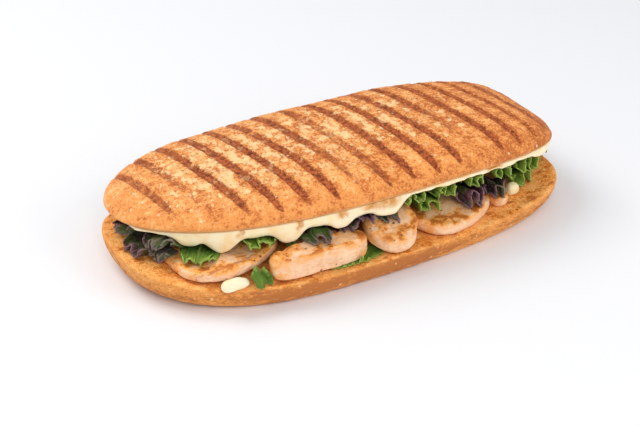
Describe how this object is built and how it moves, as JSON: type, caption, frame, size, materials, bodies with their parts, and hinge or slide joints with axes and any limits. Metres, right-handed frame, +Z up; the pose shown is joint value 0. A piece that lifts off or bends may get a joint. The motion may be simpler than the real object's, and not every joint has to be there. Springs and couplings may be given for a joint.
{
  "type": "grilled chicken panini",
  "caption": "Long pressed roll with grill stripes, cut through its side and filled with grilled chicken slices, frilled salad leaves and melted cheese that drips over the edge.",
  "frame": {"origin": "on the ground plane, below the middle of the bounding box", "axes": "+X runs along the roll to its end that was farther from the viewer, -Y is the side that gapes open, +Z is up"},
  "size_m": [0.2236, 0.1148, 0.0463],
  "materials": {
    "bread": "dry golden brown crust with darker pressed stripes",
    "cheese": "soft melted cheese, slightly glossy, browned in patches",
    "chicken": "moist grilled chicken, pale sides and browned flat faces",
    "leaf_green": "green salad leaf with a soft sheen",
    "leaf_red": "dark red and purple salad leaf with a soft sheen",
    "lettuce_rib": "pale juicy lettuce rib"
  },
  "bodies": {
    "root": {"bread_bottom": "bread", "bread_top": "bread", "cheese_sheet": "cheese", "cheese_drop": "cheese", "lettuce_rib": "lettuce_rib", "chicken_front_1": "chicken", "chicken_front_2": "chicken", "chicken_front_3": "chicken", "chicken_front_4": "chicken", "chicken_front_5": "chicken", "chicken_middle_1": "chicken", "chicken_middle_2": "chicken", "chicken_back_1": "chicken", "chicken_back_2": "chicken", "chicken_back_3": "chicken", "chicken_back_4": "chicken", "chicken_back_5": "chicken", "leaf_red_1": "leaf_red", "leaf_red_2": "leaf_red", "leaf_red_3": "leaf_red", "leaf_green_4": "leaf_green", "leaf_green_5": "leaf_green", "leaf_green_6": "leaf_green", "leaf_red_7": "leaf_red", "leaf_red_8": "leaf_red", "leaf_red_9": "leaf_red", "leaf_green_10": "leaf_green", "leaf_green_11": "leaf_green", "leaf_green_12": "leaf_green", "leaf_red_13": "leaf_red", "leaf_green_14": "leaf_green", "leaf_red_15": "leaf_red", "leaf_green_16": "leaf_green", "leaf_green_17": "leaf_green", "leaf_green_18": "leaf_green", "leaf_red_19": "leaf_red", "leaf_green_20": "leaf_green", "leaf_red_21": "leaf_red", "leaf_green_22": "leaf_green", "leaf_red_23": "leaf_red", "leaf_green_24": "leaf_green", "leaf_red_25": "leaf_red", "leaf_green_26": "leaf_green", "leaf_red_27": "leaf_red", "leaf_green_28": "leaf_green", "leaf_red_31": "leaf_red", "leaf_green_32": "leaf_green", "leaf_green_29": "leaf_green", "leaf_green_30": "leaf_green"}
  },
  "joints": []
}
